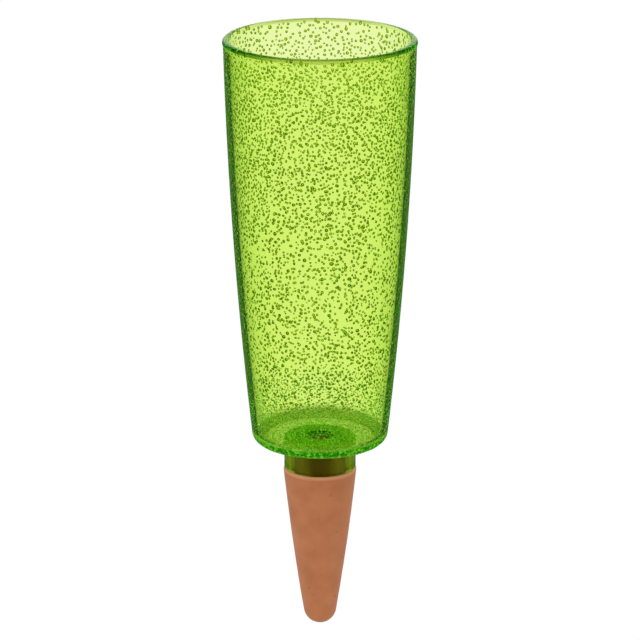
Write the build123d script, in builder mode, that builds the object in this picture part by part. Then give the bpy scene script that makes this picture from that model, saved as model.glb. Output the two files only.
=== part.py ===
from build123d import *
import os
from math import sqrt

# Self watering spike: a tapering plastic cup stands on a hollow clay cone that is pushed into the soil.
# The origin is on the axis at the soil line, where the cone's shoulder meets the collar, and +Z is up.
# All sizes are in millimetres.

# Reservoir cup
rim_diameter = 74.0
base_diameter = 52.4
cup_height = 160.3
wall_bow = 1.8
wall_thickness = 2.4
floor_thickness = 2.0
base_corner_radius = 3.8
floor_corner_radius = 4.0
lip_height = 3.0
lip_proud = 0.25
rim_outer_radius = 1.1
rim_inner_radius = 0.8
drain_diameter = 9.8

# Neck collar
collar_height = 11.1
collar_wall = 3.6
collar_edge_radius = 0.4
register_depth = 0.8
register_width = 1.8
weld_gap = 0.1

# Clay cone
spigot_diameter = 20.2
spigot_chamfer = 0.8
spigot_clearance = 0.3
shoulder_overhang = 0.45
shoulder_radius = 1.4
cone_length = 66.2
cone_side_radius = 1000.0
tip_radius = 6.5
clay_wall = 3.2

# Sealing washer
washer_thickness = 1.5
washer_setback = 0.6

# Heights above the soil line
base_height = collar_height
seat_height = base_height + register_depth
floor_height = base_height + floor_thickness
rim_height = base_height + cup_height
lip_foot_height = rim_height - lip_height
spigot_height = seat_height - washer_thickness

# Radii about the axis
rim_radius = rim_diameter / 2
base_radius = base_diameter / 2
drain_radius = drain_diameter / 2
spigot_radius = spigot_diameter / 2
collar_bore_radius = spigot_radius + spigot_clearance
collar_radius = collar_bore_radius + collar_wall
register_radius = collar_bore_radius + register_width
cone_radius = collar_radius + shoulder_overhang
washer_bore_radius = drain_radius + washer_setback
cavity_mouth_radius = spigot_radius - clay_wall
cavity_tip_radius = tip_radius - clay_wall

# The cup's outer wall is one shallow arc from the base corner to the rim, which bows outwards.
wall_top = Vector(rim_radius - lip_proud, rim_height)
wall_foot = Vector(base_radius, base_height)
wall_chord = wall_top - wall_foot
wall_radius = wall_chord.length**2 / (8 * wall_bow) + wall_bow / 2
wall_inward = wall_chord.normalized().rotate(Axis.Z, 90)
wall_centre = (wall_top + wall_foot) / 2 + wall_inward * (wall_radius - wall_bow)


def outer_wall_at(height):
    """Radius of the cup's outer wall at a height."""
    return wall_centre.X + sqrt(wall_radius**2 - (height - wall_centre.Y) ** 2)


def wall_arc(foot_height, top_height, depth):
    """Arc that lies a depth inside the cup's outer wall, from one height to another."""
    middle_height = (foot_height + top_height) / 2
    heights = (foot_height, middle_height, top_height)
    return ThreePointArc(*[(outer_wall_at(height) - depth, height) for height in heights])


def corner(sketch, x, y):
    """The corner of a sketch that is nearest to a point."""
    return sketch.vertices().sort_by_distance((x, y))[0]


# Cup with a floor that is pierced by the drain hole and has a round seat for the collar underneath
seat_radius = register_radius + weld_gap
inner_rim_radius = outer_wall_at(rim_height) - wall_thickness
inner_floor_radius = outer_wall_at(floor_height) - wall_thickness
lip_slope_height = lip_foot_height + lip_proud
with BuildPart() as reservoir_cup:
    with BuildSketch(Plane.XZ) as cup_section:
        with BuildLine():
            outer_wall = wall_arc(base_height, lip_foot_height, 0)
            Polyline(
                outer_wall @ 1,
                (rim_radius, lip_slope_height),
                (rim_radius, rim_height),
                (inner_rim_radius, rim_height),
            )
            inner_wall = wall_arc(floor_height, rim_height, wall_thickness)
            Polyline(
                inner_wall @ 0,
                (drain_radius, floor_height),
                (drain_radius, seat_height),
                (seat_radius, seat_height),
                (seat_radius, base_height),
                outer_wall @ 0,
            )
        make_face()
        fillet(corner(cup_section, base_radius, base_height), base_corner_radius)
        fillet(corner(cup_section, inner_floor_radius, floor_height), floor_corner_radius)
        fillet(corner(cup_section, rim_radius, rim_height), rim_outer_radius)
        fillet(corner(cup_section, inner_rim_radius, rim_height), rim_inner_radius)
    revolve(axis=Axis.Z)
reservoir_cup.part.label = "reservoir_cup"

# Collar: a thick-walled socket whose register ring sits in the cup's seat
register_height = seat_height - weld_gap
with BuildPart() as neck_collar:
    with BuildSketch(Plane.XZ) as collar_section:
        with BuildLine():
            Polyline(
                (collar_bore_radius, 0),
                (collar_radius, 0),
                (collar_radius, base_height),
                (register_radius, base_height),
                (register_radius, register_height),
                (collar_bore_radius, register_height),
                close=True,
            )
        make_face()
        fillet(corner(collar_section, collar_radius, 0), collar_edge_radius)
        fillet(corner(collar_section, collar_bore_radius, 0), collar_edge_radius)
    revolve(axis=Axis.Z)
neck_collar.part.label = "neck_collar"

# Cone: its bowed side is an arc that ends at the shoulder and runs smoothly into the round tip
shoulder = Vector(cone_radius, 0)
tip_centre = Vector(0, tip_radius - cone_length)
tip_to_shoulder = shoulder - tip_centre
tip_span = tip_to_shoulder.length
side_to_tip_radius = cone_side_radius - tip_radius
along = (side_to_tip_radius**2 - cone_side_radius**2 + tip_span**2) / (2 * tip_span)
across = sqrt(side_to_tip_radius**2 - along**2)
side_direction = tip_to_shoulder.normalized()
side_centre = tip_centre + side_direction * along + side_direction.rotate(Axis.Z, 90) * across
tip_end = tip_centre + (tip_centre - side_centre).normalized() * tip_radius
cavity_foot = (cavity_tip_radius, tip_centre.Y)
cavity_bottom = (0, clay_wall - cone_length)
with BuildPart() as clay_cone:
    with BuildSketch(Plane.XZ) as cone_section:
        with BuildLine():
            tip = TangentArc((0, -cone_length), tip_end, tangent=(1, 0))
            side = TangentArc(tip @ 1, shoulder, tangent=tip % 1)
            Polyline(
                side @ 1,
                (spigot_radius, 0),
                (spigot_radius, spigot_height),
                (cavity_mouth_radius, spigot_height),
                cavity_foot,
            )
            TangentArc(cavity_foot, cavity_bottom, tangent=(0, -1))
            Line(cavity_bottom, tip @ 0)
        make_face()
        fillet(corner(cone_section, cone_radius, 0), shoulder_radius)
        chamfer(corner(cone_section, spigot_radius, spigot_height), spigot_chamfer)
    revolve(axis=Axis.Z)
clay_cone.part.label = "clay_cone"

# Washer: a flat ring on top of the spigot, pressed against the underside of the cup's floor
with BuildPart() as sealing_washer:
    with BuildSketch(Plane.XY.offset(spigot_height)):
        Circle(spigot_radius)
        Circle(washer_bore_radius, mode=Mode.SUBTRACT)
    extrude(amount=washer_thickness)
sealing_washer.part.label = "sealing_washer"

os.makedirs("parts", exist_ok=True)
for piece in (reservoir_cup, neck_collar, clay_cone, sealing_washer):
    export_step(piece.part, f"parts/{piece.part.label}.step")
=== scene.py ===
import math

import bmesh
import bpy
import numpy as np
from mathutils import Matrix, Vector, noise


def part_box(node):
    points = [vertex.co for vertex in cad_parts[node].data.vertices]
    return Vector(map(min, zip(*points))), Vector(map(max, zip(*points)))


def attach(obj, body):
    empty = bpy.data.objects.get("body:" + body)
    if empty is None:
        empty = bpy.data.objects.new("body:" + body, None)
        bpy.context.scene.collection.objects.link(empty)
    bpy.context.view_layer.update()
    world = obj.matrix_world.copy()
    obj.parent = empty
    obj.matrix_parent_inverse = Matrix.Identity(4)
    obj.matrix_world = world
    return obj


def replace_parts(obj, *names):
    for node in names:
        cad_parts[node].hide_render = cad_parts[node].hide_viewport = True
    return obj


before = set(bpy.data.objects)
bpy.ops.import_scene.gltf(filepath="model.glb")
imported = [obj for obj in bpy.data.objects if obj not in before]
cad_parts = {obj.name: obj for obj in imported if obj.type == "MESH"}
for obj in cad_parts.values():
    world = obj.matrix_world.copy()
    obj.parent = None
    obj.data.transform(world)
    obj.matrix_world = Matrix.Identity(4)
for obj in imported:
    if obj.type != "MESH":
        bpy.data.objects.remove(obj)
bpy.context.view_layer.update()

# Sizes are in metres, in the frame of the solids: the axis is Z and the soil line is at zero.
MM = 0.001
cup_low, cup_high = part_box("reservoir_cup")
collar_low, collar_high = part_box("neck_collar")
cone_low, cone_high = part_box("clay_cone")
washer_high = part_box("sealing_washer")[1]

# Cup
RIM_RADIUS = cup_high.x
RIM_HEIGHT = cup_high.z
BASE_HEIGHT = cup_low.z
BASE_RADIUS = 26.2 * MM
WALL_BOW = 1.8 * MM
WALL_THICKNESS = 2.4 * MM
FLOOR_THICKNESS = 2.0 * MM
FLOOR_HEIGHT = BASE_HEIGHT + FLOOR_THICKNESS
SEAT_HEIGHT = washer_high.z
BASE_CORNER = 3.8 * MM
FLOOR_CORNER = 4.0 * MM
LIP_HEIGHT = 3.0 * MM
LIP_PROUD = 0.25 * MM
LIP_FOOT = RIM_HEIGHT - LIP_HEIGHT
LIP_SLOPE = 1.25 * MM
LIP_ROUND = 2.0 * MM
RIM_OUTER_ROUND = 1.4 * MM
RIM_INNER_ROUND = 1.0 * MM
DRAIN_RADIUS = 4.9 * MM
EDGE_ROUND = 0.25 * MM
WALL_STEPS = 30
CUP_SEGMENTS = 240

# Collar
COLLAR_RADIUS = collar_high.x
COLLAR_BORE = 10.4 * MM
REGISTER_WIDTH = 1.8 * MM
REGISTER_RADIUS = COLLAR_BORE + REGISTER_WIDTH
REGISTER_HEIGHT = collar_high.z
WELD_GAP = 0.1 * MM
SEAT_RADIUS = REGISTER_RADIUS + WELD_GAP
COLLAR_FOOT_GAP = 0.1 * MM
COLLAR_FOOT = collar_low.z + COLLAR_FOOT_GAP
COLLAR_EDGE = 0.15 * MM
COLLAR_SEGMENTS = 160

# Clay cone
SHOULDER_OVERHANG = 0.45 * MM
CONE_CORNER_RADIUS = COLLAR_RADIUS + SHOULDER_OVERHANG
CONE_SIDE_RADIUS = 1000 * MM
CONE_BOTTOM = cone_low.z
TIP_RADIUS = 6.5 * MM
SHOULDER_ROUND = 1.4 * MM
SPIGOT_RADIUS = washer_high.x
SPIGOT_HEIGHT = cone_high.z
SPIGOT_CHAMFER = 0.8 * MM
CLAY_WALL = 3.2 * MM
CONE_STEPS = 30
TIP_STEPS = 14
CONE_SEGMENTS = 180

# Outlines
OUTLINE_RUN = 2.5 * MM
SUPPORT_RUN = 0.12 * MM
SHORTEST_DIVIDED = 3 * SUPPORT_RUN
CORNER_STEPS = 8


def outer_wall_at(height):
    """Radius of the cup's outer wall, an arc that bows outwards between the base and the rim."""
    top = Vector((RIM_RADIUS - LIP_PROUD, RIM_HEIGHT))
    foot = Vector((BASE_RADIUS, BASE_HEIGHT))
    chord = top - foot
    radius = chord.length ** 2 / (8 * WALL_BOW) + WALL_BOW / 2
    inward = chord.orthogonal().normalized()
    centre = (top + foot) / 2 + inward * (radius - WALL_BOW)
    return centre.x + math.sqrt(radius ** 2 - (height - centre.y) ** 2)


def arc(centre, radius, start, end, steps):
    """Points of an arc between two angles."""
    angles = np.linspace(start, end, steps + 1)
    return [Vector((centre.x + radius * math.cos(a), centre.y + radius * math.sin(a))) for a in angles]


def divided(start, end):
    """Points inside a straight run: one close to each end, and more along a long run."""
    length = (end - start).length
    if length < SHORTEST_DIVIDED:
        return []
    way = (end - start) / length
    near = start + way * SUPPORT_RUN
    far = end - way * SUPPORT_RUN
    steps = math.ceil(length / OUTLINE_RUN)
    return [near.lerp(far, step / steps) for step in range(steps + 1)]


def rounded_corner(back, here, ahead, radius):
    """Points that round a corner by a radius, or the corner itself where the radius is zero."""
    if radius == 0:
        return [here]
    back_way = (back - here).normalized()
    ahead_way = (ahead - here).normalized()
    half = back_way.angle(ahead_way) / 2
    middle = (back_way + ahead_way).normalized()
    centre = here + middle * radius / math.sin(half)
    into = here + back_way * radius / math.tan(half) - centre
    out = here + ahead_way * radius / math.tan(half) - centre
    first = math.atan2(into.y, into.x)
    turn = math.atan2(into.x * out.y - into.y * out.x, into.dot(out))
    return arc(centre, radius, first, first + turn, CORNER_STEPS)


def outline_through(corners, closed=True):
    """A fine outline through corners, each given as a point and the radius that rounds it."""
    count = len(corners)
    rounded = []
    for i, (here, radius) in enumerate(corners):
        inside = closed or 0 < i < count - 1
        back, ahead = corners[i - 1][0], corners[(i + 1) % count][0]
        rounded.append(rounded_corner(back, here, ahead, radius if inside else 0))
    outline = []
    for i, points in enumerate(rounded):
        outline += points
        if closed or i < count - 1:
            outline += divided(points[-1], rounded[(i + 1) % count][0])
    return outline


def corner(radius, height, rounding=0.0):
    """A corner of an outline, and the radius that rounds it."""
    return Vector((radius, height)), rounding


def wall_corners(shade_depth, start, end):
    """Corners along the cup's wall, a depth inside its outer side, from one height to another."""
    heights = np.linspace(start, end, WALL_STEPS + 1)
    return [corner(outer_wall_at(height) - shade_depth, height) for height in heights]


def cup_outline():
    """Section of the cup: up the outer wall, over the rim, down inside, and round the drain and the seat."""
    outer = wall_corners(0, BASE_HEIGHT, LIP_FOOT)
    outer[0] = (outer[0][0], BASE_CORNER)
    outer[-1] = (outer[-1][0], LIP_ROUND)
    inner = wall_corners(WALL_THICKNESS, RIM_HEIGHT, FLOOR_HEIGHT)
    inner[0] = (inner[0][0], RIM_INNER_ROUND)
    inner[-1] = (inner[-1][0], FLOOR_CORNER)
    lip = [
        corner(RIM_RADIUS, LIP_FOOT + LIP_SLOPE, LIP_ROUND),
        corner(RIM_RADIUS, RIM_HEIGHT, RIM_OUTER_ROUND),
    ]
    under = [
        corner(DRAIN_RADIUS, FLOOR_HEIGHT, EDGE_ROUND),
        corner(DRAIN_RADIUS, SEAT_HEIGHT, EDGE_ROUND),
        corner(SEAT_RADIUS, SEAT_HEIGHT, EDGE_ROUND),
        corner(SEAT_RADIUS, BASE_HEIGHT, EDGE_ROUND),
    ]
    return outline_through(outer + lip + inner + under)


def collar_outline():
    """Section of the collar: a socket with a register ring on top."""
    return outline_through([
        corner(COLLAR_RADIUS, COLLAR_FOOT, COLLAR_EDGE),
        corner(COLLAR_RADIUS, BASE_HEIGHT, EDGE_ROUND),
        corner(REGISTER_RADIUS, BASE_HEIGHT, EDGE_ROUND),
        corner(REGISTER_RADIUS, REGISTER_HEIGHT, EDGE_ROUND),
        corner(COLLAR_BORE, REGISTER_HEIGHT, EDGE_ROUND),
        corner(COLLAR_BORE, COLLAR_FOOT, COLLAR_EDGE),
    ])


def cone_outline():
    """Section of the cone: from the tip up the bowed side, round the spigot and down the hollow inside."""
    shoulder = Vector((CONE_CORNER_RADIUS, 0))
    tip_centre = Vector((0, CONE_BOTTOM + TIP_RADIUS))
    span = (shoulder - tip_centre).length
    way = (shoulder - tip_centre) / span
    reach = CONE_SIDE_RADIUS - TIP_RADIUS
    along = (reach ** 2 - CONE_SIDE_RADIUS ** 2 + span ** 2) / (2 * span)
    across = math.sqrt(reach ** 2 - along ** 2)
    side_centre = tip_centre + way * along + Vector((-way.y, way.x)) * across
    side_start = math.atan2(*(tip_centre - side_centre).yx)
    side_end = math.atan2(*(shoulder - side_centre).yx)
    tip = arc(tip_centre, TIP_RADIUS, -math.pi / 2, side_start, TIP_STEPS)
    side = arc(side_centre, CONE_SIDE_RADIUS, side_start, side_end, CONE_STEPS)[1:]
    hollow_tip = arc(tip_centre, TIP_RADIUS - CLAY_WALL, 0, -math.pi / 2, TIP_STEPS)
    corners = [(point, 0.0) for point in tip + side]
    corners[-1] = (shoulder, SHOULDER_ROUND)
    corners += [
        corner(SPIGOT_RADIUS, 0, EDGE_ROUND),
        corner(SPIGOT_RADIUS, SPIGOT_HEIGHT - SPIGOT_CHAMFER, EDGE_ROUND),
        corner(SPIGOT_RADIUS - SPIGOT_CHAMFER, SPIGOT_HEIGHT, EDGE_ROUND),
        corner(SPIGOT_RADIUS - CLAY_WALL, SPIGOT_HEIGHT, EDGE_ROUND),
    ]
    corners += [(point, 0.0) for point in hollow_tip]
    return outline_through(corners, closed=False)


# Meshes
def add_object(name, mesh, body):
    """A smooth object that rides on a body."""
    mesh.shade_smooth()
    made = bpy.data.objects.new(name, mesh)
    bpy.context.scene.collection.objects.link(made)
    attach(made, body)
    return made


def lathe(name, outline, segments, closed=True):
    """A mesh turned about the axis. An open outline starts and ends on the axis."""
    mesh = bpy.data.meshes.new(name)
    turned = bmesh.new()
    angles = [2 * math.pi * step / segments for step in range(segments)]
    count = len(outline)
    rings = []
    for i, point in enumerate(outline):
        if not closed and i in (0, count - 1):
            rings.append([turned.verts.new((0, 0, point.y))] * segments)
        else:
            places = [(point.x * math.cos(a), point.x * math.sin(a), point.y) for a in angles]
            rings.append([turned.verts.new(place) for place in places])
    for i in range(count if closed else count - 1):
        low, high = rings[i], rings[(i + 1) % count]
        for j in range(segments):
            k = (j + 1) % segments
            loop = [low[j], low[k], high[k], high[j]]
            turned.faces.new(list(dict.fromkeys(loop)))
    turned.to_mesh(mesh)
    turned.free()
    return mesh


def store(mesh, name, values):
    """Stores a value at each point of a mesh, for its material to read."""
    mesh.attributes.new(name, "FLOAT", "POINT").data.foreach_set("value", values)


# Air bubbles in the cup
BUBBLE_SEED = 7
WALL_CANDIDATES = 60000
FLOOR_CANDIDATES = 4000
BUBBLE_TARGET = 10400
BUBBLE_SPREAD = 0.20
BUBBLE_SMALLEST = 0.55 * MM
BUBBLE_LARGEST = 1.9 * MM
BUBBLE_CLEARANCE = 0.10 * MM
BUBBLE_GAP = 0.02 * MM
BUBBLE_SPACING = 0.22 * MM
BUBBLE_STRETCH = 0.16
BUBBLE_DIVISIONS = 2
COMPANION_SHARE = 0.2
RIM_CLEAR = 1.2 * MM
CROWD_STEPS = 200
CROWD_PATCH = 14 * MM
CROWD_NOISE = (-0.5, 0.5)
CROWD_SHARE = (0.4, 1.0)
LOW_BUBBLES_END = BASE_HEIGHT + 16 * MM
HIGH_BUBBLES_START = BASE_HEIGHT + 24 * MM
TOP_BUBBLES_START = RIM_HEIGHT - 35 * MM
TOP_BUBBLES_STRENGTH = 0.6
BUBBLE_FAINTEST = 0.6

# Stops of how far up the wall a bubble is, with the usual bubble width or the crowding there
MEDIAN_STOPS = (
    (0.10, 0.70 * MM),
    (0.16, 1.08 * MM),
    (0.35, 1.12 * MM),
    (0.52, 1.18 * MM),
    (0.74, 1.02 * MM),
    (0.90, 1.05 * MM),
    (1.00, 1.32 * MM),
)
CROWD_STOPS = (
    (0.10, 2.8),
    (0.16, 1.0),
    (0.30, 0.9),
    (0.50, 0.75),
    (0.74, 1.65),
    (0.87, 2.0),
    (1.00, 2.1),
)


def section_depth(places, outline):
    """How deep places of (radius, height) lie inside a closed section. It is negative outside."""
    nearest = np.full(len(places), np.inf)
    inside = np.zeros(len(places), bool)
    for start, end in zip(outline, outline[1:] + outline[:1]):
        edge = np.array(end - start)
        away = places - np.array(start)
        along = np.clip(away @ edge / (edge @ edge), 0, 1)
        nearest = np.minimum(nearest, np.linalg.norm(away - along[:, None] * edge, axis=1))
        spans = (start.y > places[:, 1]) != (end.y > places[:, 1])
        if start.y != end.y:
            inside ^= spans & (away[:, 0] < edge[0] * away[:, 1] / edge[1])
    return np.where(inside, nearest, -nearest)


def flat_places(centres):
    """Places of (radius, height) for points in space."""
    return np.column_stack([np.hypot(centres[:, 0], centres[:, 1]), centres[:, 2]])


def candidate_centres(rng):
    """Points scattered through the cup's wall and floor, in a mixed order."""
    count = WALL_CANDIDATES + FLOOR_CANDIDATES
    way_up = np.linspace(0, 1, CROWD_STEPS)
    crowding = np.cumsum(np.interp(way_up, *zip(*CROWD_STOPS)))
    wall_way_up = np.interp(rng.uniform(0, crowding[-1], WALL_CANDIDATES), crowding, way_up)
    wall_height = BASE_HEIGHT + (RIM_HEIGHT - RIM_CLEAR - BASE_HEIGHT) * wall_way_up
    wall_depth = rng.uniform(0, WALL_THICKNESS, WALL_CANDIDATES)
    wall_radius = np.vectorize(outer_wall_at)(wall_height) - wall_depth
    floor_height = rng.uniform(BASE_HEIGHT, FLOOR_HEIGHT, FLOOR_CANDIDATES)
    floor_radius = np.sqrt(rng.uniform(DRAIN_RADIUS ** 2, BASE_RADIUS ** 2, FLOOR_CANDIDATES))
    order = rng.permutation(count)
    height = np.concatenate([wall_height, floor_height])[order]
    radius = np.concatenate([wall_radius, floor_radius])[order]
    angle = rng.uniform(0, 2 * math.pi, count)
    return np.column_stack([radius * np.cos(angle), radius * np.sin(angle), height])


def scattered_bubbles(outline):
    """Centres and radii of bubbles that lie inside the cup's section and don't meet each other."""
    rng = np.random.default_rng(BUBBLE_SEED)
    centres = candidate_centres(rng)
    count = len(centres)
    way_up = (centres[:, 2] - BASE_HEIGHT) / (RIM_HEIGHT - BASE_HEIGHT)
    medians = np.interp(way_up, *zip(*MEDIAN_STOPS))
    sizes = medians * np.exp(BUBBLE_SPREAD * rng.standard_normal((2, count)))
    radii, companion_radii = np.clip(sizes, BUBBLE_SMALLEST, BUBBLE_LARGEST) / 2
    directions = rng.standard_normal((count, 3))
    directions /= np.linalg.norm(directions, axis=1)[:, None]
    companions = centres + directions * (radii + companion_radii + BUBBLE_GAP)[:, None]
    has_companion = rng.random(count) < COMPANION_SHARE
    patches = [noise.noise(Vector(centre) / CROWD_PATCH) for centre in centres]
    fits = rng.random(count) < np.interp(patches, CROWD_NOISE, CROWD_SHARE)
    fits &= section_depth(flat_places(centres), outline) > radii + BUBBLE_CLEARANCE
    companion_depth = section_depth(flat_places(companions), outline)
    companion_fits = companion_depth > companion_radii + BUBBLE_CLEARANCE
    cell_size = BUBBLE_LARGEST + BUBBLE_SPACING
    steps = (-1, 0, 1)
    cells = {}
    kept = []

    def keep(centre, size, room):
        """Keeps a bubble if it has room around it among those that are already there."""
        home = tuple(np.floor(centre / cell_size).astype(int))
        around = [(home[0] + i, home[1] + j, home[2] + k) for i in steps for j in steps for k in steps]
        for cell in around:
            for other, other_size in cells.get(cell, ()):
                if np.linalg.norm(other - centre) < size + other_size + room:
                    return False
        cells.setdefault(home, []).append((centre, size))
        kept.append((centre, size))
        return True

    for i in np.flatnonzero(fits):
        if len(kept) >= BUBBLE_TARGET:
            break
        is_kept = keep(centres[i], radii[i], BUBBLE_SPACING)
        if is_kept and has_companion[i] and companion_fits[i]:
            keep(companions[i], companion_radii[i], BUBBLE_GAP / 2)
    return kept


def bubble_mesh(name, bubbles, rng):
    """One mesh of many slightly uneven round bubbles."""
    template = bmesh.new()
    bmesh.ops.create_icosphere(template, subdivisions=BUBBLE_DIVISIONS, radius=1.0)
    ball = np.array([v.co for v in template.verts])
    ball_faces = np.array([[v.index for v in f.verts] for f in template.faces])
    template.free()
    points, faces = [], []
    for i, (centre, size) in enumerate(bubbles):
        stretch = 1 + BUBBLE_STRETCH * rng.uniform(-1, 1, 3)
        points.append(centre + ball * size * stretch / stretch.max())
        faces.append(ball_faces + i * len(ball))
    mesh = bpy.data.meshes.new(name)
    mesh.from_pydata(np.concatenate(points).tolist(), [], np.concatenate(faces).tolist())
    mesh.validate()
    heights = [centre[2] for centre, size in bubbles]
    clear = np.interp(heights, (LOW_BUBBLES_END, HIGH_BUBBLES_START), (0, 1))
    strengths = clear * np.interp(heights, (TOP_BUBBLES_START, RIM_HEIGHT), (1, TOP_BUBBLES_STRENGTH))
    strengths *= rng.uniform(BUBBLE_FAINTEST, 1, len(bubbles))
    store(mesh, "strength", np.repeat(strengths, len(ball)))
    store(mesh, "misty", np.repeat(1 - clear, len(ball)))
    return mesh


# Material nodes
EVEN_BLEND = 0.5


def feed(tree, socket, value):
    """Links a socket to the output that feeds it, or sets it to a plain value."""
    if isinstance(value, bpy.types.NodeSocket):
        tree.links.new(value, socket)
    else:
        socket.default_value = value


def node(tree, kind, inputs=None, **settings):
    """A new node. Settings are its own properties, and inputs are values or the outputs that feed them."""
    made = tree.nodes.new(kind)
    for name, value in settings.items():
        setattr(made, name, value)
    for name, value in (inputs or {}).items():
        feed(tree, made.inputs[name], value)
    return made


def new_tree(name):
    """An empty material, its node tree and its output node."""
    material = bpy.data.materials.new(name)
    material.use_nodes = True
    tree = material.node_tree
    tree.nodes.clear()
    return material, tree, node(tree, "ShaderNodeOutputMaterial")


def ramp(tree, factor, stops):
    """A colour ramp through stops of a place and a colour."""
    made = node(tree, "ShaderNodeValToRGB", {"Fac": factor})
    elements = made.color_ramp.elements
    while len(elements) < len(stops):
        elements.new(1.0)
    for element, (place, colour) in zip(elements, stops):
        element.position = place
        element.color = colour
    return made.outputs["Color"]


def place_on(tree):
    """The place of a point of the surface, fixed to the object."""
    return node(tree, "ShaderNodeTexCoord").outputs["Object"]


def height_of(tree, place):
    """The height of a place."""
    return node(tree, "ShaderNodeSeparateXYZ", {"Vector": place}).outputs["Z"]


def noise_at(tree, feature_size, detail=2.0):
    """Noise with features of a given size, fixed to the object."""
    inputs = {"Vector": place_on(tree), "Scale": 1 / feature_size, "Detail": detail}
    return node(tree, "ShaderNodeTexNoise", inputs).outputs["Fac"]


def scaled(tree, value, low, high):
    """A value from 0 to 1, spread between two limits."""
    inputs = {"Value": value, "To Min": low, "To Max": high}
    return node(tree, "ShaderNodeMapRange", inputs).outputs["Result"]


def between(tree, value, low, high):
    """How far a value lies between two limits, from 0 to 1."""
    inputs = {"Value": value, "From Min": low, "From Max": high}
    return node(tree, "ShaderNodeMapRange", inputs).outputs["Result"]


def maths(tree, operation, first, second):
    """The result of an operation on two numbers."""
    return node(tree, "ShaderNodeMath", {0: first, 1: second}, operation=operation).outputs["Value"]


def marked(tree, name):
    """A value that is stored on the mesh."""
    return node(tree, "ShaderNodeAttribute", attribute_name=name).outputs["Fac"]


def facing_of(tree, **inputs):
    """How far the surface turns away: none where it is seen straight on, and one at its outline."""
    return node(tree, "ShaderNodeLayerWeight", {"Blend": EVEN_BLEND, **inputs}).outputs["Facing"]


def mixed(tree, factor, first, second, blend="MIX"):
    """Two colours mixed by a factor."""
    made = node(tree, "ShaderNodeMix", {"Factor": factor}, data_type="RGBA", blend_type=blend)
    first_socket, second_socket = [socket for socket in made.inputs if socket.type == "RGBA"]
    feed(tree, first_socket, first)
    feed(tree, second_socket, second)
    return next(socket for socket in made.outputs if socket.type == "RGBA")


def shaders_mixed(tree, factor, first, second):
    """Two shaders mixed by a factor."""
    return node(tree, "ShaderNodeMixShader", {0: factor, 1: first, 2: second}).outputs["Shader"]


# Clear plastic of the cup and the collar. Stops are of how far a surface turns away, with its tint there;
# these tints are painted shade, with some painted highlights.
WHITE = (1.0, 1.0, 1.0, 1.0)
PLASTIC_IOR = 1.5
OUTSIDE_GLOSS = 0.06
FIRST_BOUNCE = 0.5
MOULD_WAVE = 14 * MM
MOULD_BUMP = 0.02 * MM
# Painted shade: the outer skin's tint grows darker towards the outline.
EDGE_SHADE_STOPS = (
    (0.25, WHITE),
    (0.50, (0.95, 0.98, 0.925, 1.0)),
    (0.65, (0.91, 0.955, 0.87, 1.0)),
)


def clear_glass(tree, tint, gloss, mirror_tint, inside_shade_stops, shade_depth, roughness):
    """Clear plastic that bends and mirrors light. Its first mirroring inside takes a darker tint towards the
    outline by a given amount, and its outer skin does too, both as painted shade.
    """
    wave = noise_at(tree, MOULD_WAVE)
    bump = node(tree, "ShaderNodeBump", {"Height": wave, "Strength": 1.0, "Distance": MOULD_BUMP})
    normal = bump.outputs["Normal"]
    rough = scaled(tree, wave, 0.0, roughness)
    inside = node(tree, "ShaderNodeNewGeometry").outputs["Backfacing"]
    facing = facing_of(tree, Normal=normal)
    path = node(tree, "ShaderNodeLightPath").outputs
    bounces = maths(tree, "ADD", path["Glossy Depth"], path["Diffuse Depth"])
    first = maths(tree, "LESS_THAN", bounces, FIRST_BOUNCE)
    # Painted shade on the first mirroring inside.
    painted_shade = maths(tree, "MULTIPLY", maths(tree, "MULTIPLY", inside, first), shade_depth)
    mirror_colour = mixed(tree, painted_shade, mirror_tint, ramp(tree, facing, inside_shade_stops))
    edge_shade = mixed(tree, inside, ramp(tree, facing, EDGE_SHADE_STOPS), WHITE)
    bend_colour = mixed(tree, 1.0, edge_shade, tint, "MULTIPLY")
    fresnel = node(tree, "ShaderNodeFresnel", {"IOR": PLASTIC_IOR, "Normal": normal}).outputs["Fac"]
    share = maths(tree, "MULTIPLY", fresnel, maths(tree, "MAXIMUM", inside, gloss))
    bend = node(tree, "ShaderNodeBsdfRefraction", {
        "Color": bend_colour, "Roughness": rough, "IOR": PLASTIC_IOR, "Normal": normal,
    })
    mirror = node(tree, "ShaderNodeBsdfAnisotropic", {
        "Color": mirror_colour, "Roughness": rough, "Normal": normal,
    })
    return shaders_mixed(tree, share, bend.outputs["BSDF"], mirror.outputs["BSDF"])


def absorb(tree, output, colour, density):
    """Gives a plastic its colour through its thickness."""
    volume = node(tree, "ShaderNodeVolumeAbsorption", {"Color": colour, "Density": density})
    tree.links.new(volume.outputs["Volume"], output.inputs["Volume"])


# Cup plastic
PLASTIC_TINT = (0.805, 0.970, 0.0, 1.0)
PLASTIC_DENSITY = 350.0
PLASTIC_ROUGHNESS = 0.02
# Painted shade: the cup's first mirroring inside is tinted dark green towards the outline, which gives its
# edges a dark band.
CUP_INSIDE_SHADE_STOPS = (
    (0.000, (0.030, 0.100, 0.000, 1.0)),
    (0.255, (0.024, 0.110, 0.000, 1.0)),
    (0.270, (0.045, 0.160, 0.000, 1.0)),
    (0.290, (0.070, 0.215, 0.020, 1.0)),
    (0.310, (0.150, 0.350, 0.080, 1.0)),
    (0.500, (0.500, 0.800, 0.200, 1.0)),
    (1.000, (0.700, 0.950, 0.300, 1.0)),
)
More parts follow.
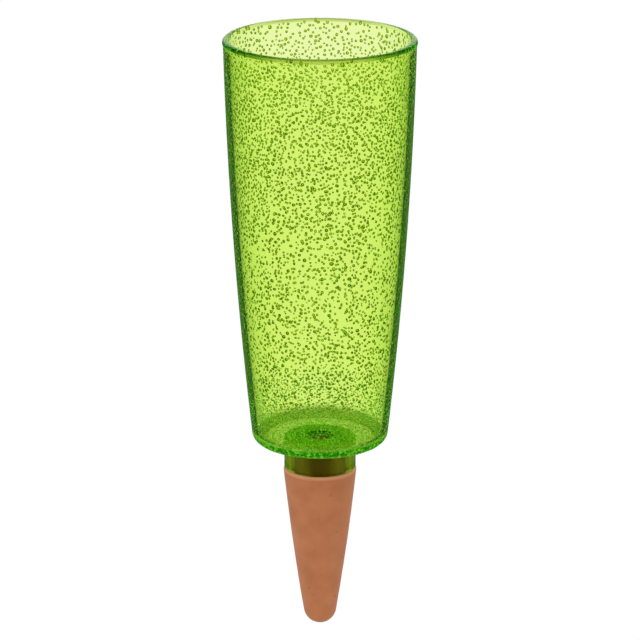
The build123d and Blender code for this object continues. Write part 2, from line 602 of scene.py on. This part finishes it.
# Painted light on the rim: its tints are painted shade, with a painted dark line along its top. Its gloss
# shows only where the rim turns away and is tinted green, as painted highlights and a painted reflection.
RIM_GLOSS = 0.9
RIM_HIGHLIGHT_FACING = (0.55, 0.72)
RIM_PAINTED_REFLECTION = (0.90, 1.00, 0.70, 1.0)
RIM_SHADE_DEPTH = 0.3
RIM_SHADE_STOPS = (
    (0.00, (0.70, 0.72, 0.58, 1.0)),
    (0.12, (0.64, 0.66, 0.46, 1.0)),
    (0.24, (0.26, 0.40, 0.06, 1.0)),
    (0.45, (0.16, 0.40, 0.03, 1.0)),
    (0.65, (0.12, 0.75, 0.03, 1.0)),
)
RIM_LINE_SHADE_STOPS = (
    (0.10, WHITE),
    (0.20, (0.30, 0.31, 0.18, 1.0)),
    (0.36, (0.66, 0.72, 0.45, 1.0)),
    (0.56, (0.86, 0.90, 0.75, 1.0)),
    (0.72, WHITE),
)

# Cloudiness of the cup's floor and base corner
FLECK_LIMITS = (0.48, 0.62)
CLOUD_THIN = 0.60
CLOUD_THICK = 0.95
CLOUD_LET_THROUGH = 0.2
CLOUD_GRAIN = 0.7 * MM
LEVEL_ONLY = (1, 1, 0)
FLOOR_GRAIN = 1.1 * MM
FLOOR_FLECK = (0.70, 1.00, 0.10, 1.0)
FLOOR_FLECK_SHARE = 0.4
# Painted shade: dark green along the drain's upper edge.
DRAIN_SHADE = (0.00, 0.36, 0.00, 1.0)
BASE_GRAIN = 1.3 * MM
BASE_CLOUD_DARK = (0.00, 0.26, 0.00, 1.0)
BASE_CLOUD_LIGHT = (0.26, 0.92, 0.04, 1.0)
# Painted highlight: pale lines round the base's lower edge.
BASE_HIGHLIGHT_LINE = (0.50, 1.00, 0.11, 1.0)
BASE_EDGE_GRAIN = 2.2 * MM
BASE_EDGE_BREAKS = (0.45, 1.0)
BASE_EDGE_TOP = 6.0 * MM

# Stops of how far out on the floor, with its colour there, deeper in the middle as painted shade, and of how
# far up the base, with the paleness of its painted highlight lines
FLOOR_MIDDLE_SHADE_STOPS = (
    (0.20, (0.20, 0.92, 0.00, 1.0)),
    (0.42, (0.30, 1.00, 0.01, 1.0)),
    (0.68, (0.58, 1.00, 0.04, 1.0)),
    (0.90, (0.74, 1.00, 0.07, 1.0)),
)
BASE_EDGE_STOPS = (
    (0.20, 0.45),
    (0.29, 0.0),
    (0.58, 0.0),
    (0.69, 1.0),
    (0.76, 1.0),
    (0.88, 0.0),
)


def flecks_of(tree, size):
    """Small bright specks of a given size."""
    return between(tree, noise_at(tree, size), *FLECK_LIMITS)


def floor_colour(tree, place):
    """Colour of the cloudy floor: deeper in the middle as painted shade, with pale flecks and painted shade
    along the drain's edge.
    """
    across = node(tree, "ShaderNodeVectorMath", {0: place, 1: LEVEL_ONLY}, operation="MULTIPLY")
    away = node(tree, "ShaderNodeVectorMath", {0: across.outputs["Vector"]}, operation="LENGTH")
    way_out = between(tree, away.outputs["Value"], 0.0, BASE_RADIUS)
    flecks = scaled(tree, flecks_of(tree, FLOOR_GRAIN), 0.0, FLOOR_FLECK_SHARE)
    flecked = mixed(tree, flecks, ramp(tree, way_out, FLOOR_MIDDLE_SHADE_STOPS), FLOOR_FLECK)
    return mixed(tree, marked(tree, "drain_shade"), flecked, DRAIN_SHADE)


def base_colour(tree, place):
    """Colour of the cloudy base corner: dark and light flecks, with broken pale lines round it that are
    painted highlights.
    """
    level = between(tree, height_of(tree, place), BASE_HEIGHT, BASE_HEIGHT + BASE_EDGE_TOP)
    lines = ramp(tree, level, [(at, (pale, pale, pale, 1.0)) for at, pale in BASE_EDGE_STOPS])
    breaks = scaled(tree, flecks_of(tree, BASE_EDGE_GRAIN), *BASE_EDGE_BREAKS)
    flecked = mixed(tree, flecks_of(tree, BASE_GRAIN), BASE_CLOUD_DARK, BASE_CLOUD_LIGHT)
    return mixed(tree, maths(tree, "MULTIPLY", lines, breaks), flecked, BASE_HIGHLIGHT_LINE)


def cup_glass(tree):
    """The cup's clear plastic, with its tints and its polish along the rim: the rim's tints are painted
    shade, and its polish makes painted highlights with a painted green reflection.
    """
    facing = facing_of(tree)
    on_top = marked(tree, "rim_top")
    side_tint = mixed(tree, marked(tree, "rim_side"), WHITE, ramp(tree, facing, RIM_SHADE_STOPS))
    line_tint = mixed(tree, on_top, WHITE, ramp(tree, facing, RIM_LINE_SHADE_STOPS))
    tint = mixed(tree, 1.0, side_tint, line_tint, "MULTIPLY")
    # Painted highlight: gloss only where the rim's top turns away.
    polished = maths(tree, "MULTIPLY", on_top, between(tree, facing, *RIM_HIGHLIGHT_FACING))
    gloss = scaled(tree, polished, OUTSIDE_GLOSS, RIM_GLOSS)
    mirror_tint = mixed(tree, on_top, WHITE, RIM_PAINTED_REFLECTION)
    shade_depth = scaled(tree, marked(tree, "rim_skin"), 1.0, RIM_SHADE_DEPTH)
    return clear_glass(tree, tint, gloss, mirror_tint, CUP_INSIDE_SHADE_STOPS, shade_depth, PLASTIC_ROUGHNESS)


def bubble_plastic():
    """Clear yellow-green plastic of the cup. Many fine bubbles make its floor and its base corner cloudy."""
    material, tree, output = new_tree("bubble_plastic_clear")
    place = place_on(tree)
    colour = mixed(tree, marked(tree, "base_skin"), floor_colour(tree, place), base_colour(tree, place))
    thrown_back = node(tree, "ShaderNodeBsdfDiffuse", {"Color": colour}).outputs["BSDF"]
    let_through = node(tree, "ShaderNodeBsdfTranslucent", {"Color": colour}).outputs["BSDF"]
    cloud = shaders_mixed(tree, CLOUD_LET_THROUGH, thrown_back, let_through)
    thickness = scaled(tree, flecks_of(tree, CLOUD_GRAIN), CLOUD_THIN, CLOUD_THICK)
    share = maths(tree, "MULTIPLY", marked(tree, "cloudy_skin"), thickness)
    tree.links.new(shaders_mixed(tree, share, cup_glass(tree), cloud), output.inputs["Surface"])
    absorb(tree, output, PLASTIC_TINT, PLASTIC_DENSITY)
    return material


# Air in the bubbles
BUBBLE_IOR = 1 / PLASTIC_IOR
# Painted shade: the bubbles' tint grows darker towards their outline, as a dark ring.
BUBBLE_RING_SHADE_STOPS = (
    (0.00, (0.80, 0.86, 0.30, 1.0)),
    (0.05, (0.62, 0.71, 0.02, 1.0)),
    (0.15, (0.54, 0.64, 0.00, 1.0)),
    (1.00, (0.50, 0.60, 0.00, 1.0)),
)
BUBBLE_FAINT = (0.96, 0.985, 0.30, 1.0)
BUBBLE_MIST = (0.52, 1.00, 0.12, 1.0)
BUBBLE_MIST_SHARE = 0.85
BUBBLE_FAR_STRENGTH = 0.6
WALLS_CROSSED = 2.5


def bubble_air():
    """Air inside the plastic: a clear middle and a dark ring of painted shade. Low bubbles are misty."""
    material, tree, output = new_tree("bubble_air")
    crossed = node(tree, "ShaderNodeLightPath").outputs["Transmission Depth"]
    far = maths(tree, "GREATER_THAN", crossed, WALLS_CROSSED)
    seen = scaled(tree, far, 1.0, BUBBLE_FAR_STRENGTH)
    strength = maths(tree, "MULTIPLY", marked(tree, "strength"), seen)
    ring = ramp(tree, facing_of(tree), BUBBLE_RING_SHADE_STOPS)
    air = node(tree, "ShaderNodeBsdfGlass", {
        "Color": mixed(tree, strength, BUBBLE_FAINT, ring),
        "Roughness": 0.0,
        "IOR": BUBBLE_IOR,
    })
    mist = node(tree, "ShaderNodeBsdfDiffuse", {"Color": BUBBLE_MIST})
    share = scaled(tree, marked(tree, "misty"), 0.0, BUBBLE_MIST_SHARE)
    both = shaders_mixed(tree, share, air.outputs["BSDF"], mist.outputs["BSDF"])
    tree.links.new(both, output.inputs["Surface"])
    return material


# Collar plastic
COLLAR_TINT = (0.60, 0.91, 0.0, 1.0)
COLLAR_DENSITY = 330.0
COLLAR_ROUGHNESS = 0.03
COLLAR_SHADE_DEPTH = 1.0
# Painted shade: the collar's first mirroring inside is tinted dark brown towards the outline.
COLLAR_INSIDE_SHADE_STOPS = (
    (0.00, (0.40, 0.28, 0.05, 1.0)),
    (0.25, (0.50, 0.30, 0.06, 1.0)),
    (0.32, (0.58, 0.40, 0.07, 1.0)),
    (0.45, (0.82, 0.58, 0.14, 1.0)),
    (1.00, (0.90, 0.65, 0.20, 1.0)),
)
# Painted light on the collar: a darker middle and darker outer bands are painted shade, and the pale bands
# between them are painted highlight streaks.
COLLAR_PAINTED_LIGHT_STOPS = (
    (0.05, (0.62, 0.55, 0.20, 1.0)),
    (0.08, (0.72, 0.67, 0.40, 1.0)),
    (0.12, WHITE),
    (0.17, (0.94, 0.94, 0.90, 1.0)),
    (0.28, (0.90, 0.88, 0.90, 1.0)),
    (0.40, (0.72, 0.60, 0.90, 1.0)),
    (0.50, (1.00, 0.84, 1.00, 1.0)),
    (0.58, (0.68, 0.57, 0.90, 1.0)),
)


def clear_plastic():
    """Clear olive-green plastic of the collar, with no bubbles. Its tint paints shade in its middle and in
    outer bands, and pale highlight streaks between them.
    """
    material, tree, output = new_tree("collar_plastic")
    # Painted shade and highlights, by how far the surface turns away.
    tint = ramp(tree, facing_of(tree), COLLAR_PAINTED_LIGHT_STOPS)
    clear = clear_glass(
        tree, tint, OUTSIDE_GLOSS, WHITE, COLLAR_INSIDE_SHADE_STOPS, COLLAR_SHADE_DEPTH, COLLAR_ROUGHNESS
    )
    tree.links.new(clear, output.inputs["Surface"])
    absorb(tree, output, COLLAR_TINT, COLLAR_DENSITY)
    return material


# Soft clouds of colour in the clay and the rubber
CLOUD_DARK_LEVEL = 0.3
CLOUD_LIGHT_LEVEL = 0.7


def clouded(tree, clouds, dark, light):
    """A colour that drifts between a dark and a light one with a noise."""
    return ramp(tree, clouds, ((CLOUD_DARK_LEVEL, dark), (CLOUD_LIGHT_LEVEL, light)))


# Clay
CLAY_DARK = (0.430, 0.147, 0.055, 1.0)
CLAY_LIGHT = (0.530, 0.197, 0.079, 1.0)
# Painted highlight: paler clay on the top of the shoulder and on the spigot, where light from overhead would
# fall.
CLAY_HIGHLIGHT_DARK = (0.680, 0.300, 0.142, 1.0)
CLAY_HIGHLIGHT_LIGHT = (0.820, 0.385, 0.195, 1.0)
CLAY_HIGHLIGHT_START = 0.5 * MM
CLAY_HIGHLIGHT_END = 1.7 * MM
CLAY_CLOUD = 9 * MM
CLAY_CLOUD_DETAIL = 4.0
CLAY_GRAIN = 0.35 * MM
CLAY_GRAIN_DETAIL = 3.0
CLAY_GRAIN_SHARE = 0.35
CLAY_SPOT = (0.360, 0.115, 0.043, 1.0)
CLAY_SPOT_SPACING = 5.5 * MM
CLAY_SPOT_SHARE = 0.6
CLAY_SPOT_INNER = 0.06
CLAY_SPOT_OUTER = 0.14
CLAY_BUMP = 0.04 * MM
CLAY_BUMP_STRENGTH = 0.6
CLAY_ROUGHNESS = (0.82, 0.95)
CLAY_SHINE = 0.25
CLAY_SHEEN = 0.12
CLAY_SHEEN_ROUGHNESS = 0.5


def terracotta():
    """Matt unglazed clay with soft clouds, fine grain and darker spots. Its shoulder and spigot are paler, as
    a painted highlight.
    """
    material, tree, output = new_tree("terracotta_clay")
    place = place_on(tree)
    clouds = noise_at(tree, CLAY_CLOUD, CLAY_CLOUD_DETAIL)
    grain = noise_at(tree, CLAY_GRAIN, CLAY_GRAIN_DETAIL)
    speckle = scaled(tree, grain, 0.0, CLAY_GRAIN_SHARE)
    cells = node(tree, "ShaderNodeTexVoronoi", {"Vector": place, "Scale": 1 / CLAY_SPOT_SPACING})
    spots = node(tree, "ShaderNodeMapRange", {
        "Value": cells.outputs["Distance"],
        "From Min": CLAY_SPOT_INNER,
        "From Max": CLAY_SPOT_OUTER,
        "To Min": CLAY_SPOT_SHARE,
        "To Max": 0.0,
    })
    spotted = mixed(tree, spots.outputs["Result"], clouded(tree, clouds, CLAY_DARK, CLAY_LIGHT), CLAY_SPOT)
    earthy = mixed(tree, speckle, spotted, CLAY_DARK)
    # Painted highlight on the shoulder's top and the spigot.
    highlight_clouds = clouded(tree, clouds, CLAY_HIGHLIGHT_DARK, CLAY_HIGHLIGHT_LIGHT)
    pale = mixed(tree, speckle, highlight_clouds, CLAY_HIGHLIGHT_DARK)
    highlight_share = between(tree, height_of(tree, place), -CLAY_HIGHLIGHT_END, -CLAY_HIGHLIGHT_START)
    bump = node(tree, "ShaderNodeBump", {
        "Height": grain, "Strength": CLAY_BUMP_STRENGTH, "Distance": CLAY_BUMP,
    })
    surface = node(tree, "ShaderNodeBsdfPrincipled", {
        "Base Color": mixed(tree, highlight_share, earthy, pale),
        "Roughness": scaled(tree, grain, *CLAY_ROUGHNESS),
        "Specular IOR Level": CLAY_SHINE,
        "Sheen Weight": CLAY_SHEEN,
        "Sheen Roughness": CLAY_SHEEN_ROUGHNESS,
        "Normal": bump.outputs["Normal"],
    })
    tree.links.new(surface.outputs["BSDF"], output.inputs["Surface"])
    return material


# Silicone
SILICONE_DARK = (0.09, 0.48, 0.03, 1.0)
SILICONE_LIGHT = (0.13, 0.60, 0.05, 1.0)
SILICONE_CLOUD = 4 * MM
SILICONE_GRAIN = 0.4 * MM
SILICONE_BUMP = 0.02 * MM
SILICONE_BUMP_STRENGTH = 0.4
SILICONE_ROUGHNESS = (0.55, 0.75)
SILICONE_SHINE = 0.2


def silicone():
    """Soft green rubber of the washer, with a faint cloudiness and a fine matt grain."""
    material, tree, output = new_tree("green_silicone")
    grain = noise_at(tree, SILICONE_GRAIN)
    bump = node(tree, "ShaderNodeBump", {
        "Height": grain, "Strength": SILICONE_BUMP_STRENGTH, "Distance": SILICONE_BUMP,
    })
    surface = node(tree, "ShaderNodeBsdfPrincipled", {
        "Base Color": clouded(tree, noise_at(tree, SILICONE_CLOUD), SILICONE_DARK, SILICONE_LIGHT),
        "Roughness": scaled(tree, grain, *SILICONE_ROUGHNESS),
        "Specular IOR Level": SILICONE_SHINE,
        "Normal": bump.outputs["Normal"],
    })
    tree.links.new(surface.outputs["BSDF"], output.inputs["Surface"])
    return material


# Areas of the cup's skin, by a point's radius and height and by how far its skin faces upwards
FLOOR_CLOUD_RADII = (10.0 * MM, 19.0 * MM)
FLOOR_CLOUD_SHARES = (0.95, 0.76)
FLOOR_CLOUD_RISE = 4.5 * MM
DRAIN_EDGE_DEPTH = 0.4 * MM
DRAIN_EDGE_WIDTH = 0.3 * MM
BASE_CLOUD_LOW = BASE_HEIGHT + 3.0 * MM
BASE_CLOUD_HIGH = BASE_HEIGHT + 6.0 * MM
BASE_CLOUD_INNER = BASE_RADIUS - 6.0 * MM
BASE_CLOUD_OUTER = BASE_RADIUS - BASE_CORNER
RIM_SIDE_BLUR = 0.25 * MM
RIM_TOP_TILT = (0.55, 0.85)
RIM_SIDE_TILT = (0.80, 0.97)
TILT_DIGITS = 3


def cloudy_skin(radius, height, tilt):
    """How cloudy the skin is: most on the floor and the base corner, and not at all up the walls."""
    if tilt < 0:
        spread = np.interp(radius, (BASE_CLOUD_INNER, BASE_CLOUD_OUTER), (0, 1))
        return spread * np.interp(height, (BASE_CLOUD_LOW, BASE_CLOUD_HIGH), (1, 0))
    share = np.interp(radius, FLOOR_CLOUD_RADII, FLOOR_CLOUD_SHARES)
    return share * np.interp(height, (FLOOR_HEIGHT, FLOOR_HEIGHT + FLOOR_CLOUD_RISE), (1, 0))


def drain_shade(radius, height, tilt):
    """One along the upper edge of the drain hole, where shade is painted."""
    edge_foot = FLOOR_HEIGHT - DRAIN_EDGE_DEPTH
    deep = np.interp(height, (edge_foot - DRAIN_EDGE_DEPTH, edge_foot), (0, 1))
    return deep * np.interp(radius, (DRAIN_RADIUS, DRAIN_RADIUS + DRAIN_EDGE_WIDTH), (1, 0))


def base_skin(radius, height, tilt):
    """One on the skin that faces down or outwards."""
    return 1.0 if tilt < 0 else 0.0


def rim_skin(radius, height, tilt):
    """One on the rounded rim."""
    low = RIM_HEIGHT - RIM_OUTER_ROUND
    return np.interp(height, (low - RIM_SIDE_BLUR, low), (0, 1))


def rim_top(radius, height, tilt):
    """One on the top of the rim, which is polished and carries painted highlights and a painted dark line."""
    return rim_skin(radius, height, tilt) * np.interp(tilt, RIM_TOP_TILT, (0, 1))


def rim_side(radius, height, tilt):
    """One on the outside of the rim, where shade is painted."""
    if radius < RIM_RADIUS - RIM_OUTER_ROUND:
        return 0.0
    return rim_skin(radius, height, tilt) * np.interp(tilt, RIM_SIDE_TILT, (1, 0))


def mark(mesh, *rules):
    """Stores on a mesh what each rule says of its points, under the rule's own name."""
    points = [(v.co.xy.length, v.co.z, round(v.normal.z, TILT_DIGITS)) for v in mesh.vertices]
    for rule in rules:
        store(mesh, rule.__name__, [rule(*point) for point in points])


# Pieces
BUBBLE_GROUPS = ("bubbles_base", "bubbles_lower", "bubbles_middle", "bubbles_upper", "bubbles_top")


def make_cup():
    """The cup's shell, and the air bubbles in it in groups from the base to the rim."""
    outline = cup_outline()
    mesh = lathe("cup_shell", outline, CUP_SEGMENTS)
    mark(mesh, cloudy_skin, drain_shade, base_skin, rim_skin, rim_top, rim_side)
    mesh.materials.append(bubble_plastic())
    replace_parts(add_object("cup_shell", mesh, "reservoir"), "reservoir_cup")
    bubbles = sorted(scattered_bubbles(outline), key=lambda bubble: bubble[0][2])
    air = bubble_air()
    rng = np.random.default_rng(BUBBLE_SEED)
    share = math.ceil(len(bubbles) / len(BUBBLE_GROUPS))
    for i, name in enumerate(BUBBLE_GROUPS):
        mesh = bubble_mesh(name, bubbles[i * share:(i + 1) * share], rng)
        mesh.materials.append(air)
        add_object(name, mesh, "reservoir")


def make_collar():
    """The clear socket under the cup."""
    mesh = lathe("collar_socket", collar_outline(), COLLAR_SEGMENTS)
    mesh.materials.append(clear_plastic())
    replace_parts(add_object("collar_socket", mesh, "reservoir"), "neck_collar")


# The clay's outside is slightly uneven, and its middle lies inward so that it stays within the solid.
CLAY_WAVE = 7 * MM
CLAY_UNEVEN = 0.06 * MM
CLAY_INWARD = 0.5


def make_cone():
    """The hollow clay spike."""
    mesh = lathe("clay_spike", cone_outline(), CONE_SEGMENTS, closed=False)
    normals = [vertex.normal.copy() for vertex in mesh.vertices]
    for vertex, normal in zip(mesh.vertices, normals):
        if vertex.co.z < -SHOULDER_ROUND:
            vertex.co += normal * CLAY_UNEVEN * (noise.noise(vertex.co / CLAY_WAVE) - CLAY_INWARD)
    mesh.materials.append(terracotta())
    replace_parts(add_object("clay_spike", mesh, "spike"), "clay_cone")


def dress_washer():
    """Gives the washer's own solid its rubber."""
    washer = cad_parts["sealing_washer"]
    washer.data.materials.clear()
    washer.data.materials.append(silicone())


# Camera, found from the outline of the object in the photograph
PHOTO_SIDE = 640
SENSOR = 36.0
FOCAL_PIXELS = 3354.5
CAMERA_DISTANCE = 1.300
CAMERA_ELEVATION = math.radians(17.57)
CAMERA_TARGET = Vector((0, 0, 59.78 * MM))


def make_camera():
    """A camera at the photograph's viewing angle."""
    data = bpy.data.cameras.new("photo_camera")
    data.sensor_width = SENSOR
    data.lens = FOCAL_PIXELS / PHOTO_SIDE * SENSOR
    camera = bpy.data.objects.new("photo_camera", data)
    away = Vector((0, -math.cos(CAMERA_ELEVATION), math.sin(CAMERA_ELEVATION)))
    camera.location = CAMERA_TARGET + away * CAMERA_DISTANCE
    camera.rotation_euler = (-away).to_track_quat("-Z", "Y").to_euler()
    bpy.context.scene.collection.objects.link(camera)
    bpy.context.scene.camera = camera


# Stage
FLOOR_DROP = 0.30
FLOOR_SIZE = 12.0
FLOOR_COLOUR = (0.9, 0.9, 0.9, 1.0)
FLOOR_SHADE = 0.10
FLOOR_GLOW = 1.05
AMBIENT = 0.68
LIGHT_BOUNCES = 24
LAMP_SIZE = 0.8
KEY_PLACE = Vector((-0.75, -0.75, 0.75))
KEY_POWER = 5.0
FILL_PLACE = Vector((0.90, -0.50, 0.35))
FILL_POWER = 1.9


def seen_directly(tree):
    """One for rays from the camera, or that come by a mirror or through glass."""
    path = node(tree, "ShaderNodeLightPath").outputs
    seen = path["Is Camera Ray"]
    for other in ("Is Glossy Ray", "Is Transmission Ray"):
        seen = maths(tree, "MAXIMUM", seen, path[other])
    return seen


def make_floor():
    """A wide pale floor well below the tip."""
    mesh = bpy.data.meshes.new("studio_floor")
    half = FLOOR_SIZE / 2
    low = CONE_BOTTOM - FLOOR_DROP
    corners = [(-half, -half, low), (half, -half, low), (half, half, low), (-half, half, low)]
    mesh.from_pydata(corners, [], [(0, 1, 2, 3)])
    floor = bpy.data.objects.new("studio_floor", mesh)
    bpy.context.scene.collection.objects.link(floor)
    material, tree, output = new_tree("floor_paper")
    paper = node(tree, "ShaderNodeBsdfDiffuse", {"Color": FLOOR_COLOUR})
    glow = node(tree, "ShaderNodeEmission", {"Strength": FLOOR_GLOW})
    share = scaled(tree, seen_directly(tree), 0.0, 1 - FLOOR_SHADE)
    both = shaders_mixed(tree, share, paper.outputs["BSDF"], glow.outputs["Emission"])
    tree.links.new(both, output.inputs["Surface"])
    mesh.materials.append(material)


def make_surroundings():
    """A white surrounding, which lights the object at a plain level."""
    world = bpy.data.worlds.new("studio")
    bpy.context.scene.world = world
    world.use_nodes = True
    tree = world.node_tree
    tree.nodes.clear()
    strength = scaled(tree, seen_directly(tree), AMBIENT, 1.0)
    light = node(tree, "ShaderNodeBackground", {"Color": WHITE, "Strength": strength})
    sky = node(tree, "ShaderNodeOutputWorld")
    tree.links.new(light.outputs["Background"], sky.inputs["Surface"])


def add_lamp(name, place, power):
    """A soft square lamp that points at the object."""
    data = bpy.data.lights.new(name, "AREA")
    data.energy = power
    data.size = LAMP_SIZE
    lamp = bpy.data.objects.new(name, data)
    lamp.location = place
    lamp.rotation_euler = (CAMERA_TARGET - lamp.location).to_track_quat("-Z", "Y").to_euler()
    bpy.context.scene.collection.objects.link(lamp)


make_camera()
make_cup()
make_collar()
make_cone()
dress_washer()
make_floor()
make_surroundings()
add_lamp("key_lamp", KEY_PLACE, KEY_POWER)
add_lamp("fill_lamp", FILL_PLACE, FILL_POWER)
bpy.context.scene.view_settings.view_transform = "Standard"
bpy.context.scene.cycles.max_bounces = LIGHT_BOUNCES
bpy.context.scene.cycles.glossy_bounces = LIGHT_BOUNCES
bpy.context.scene.cycles.transmission_bounces = LIGHT_BOUNCES
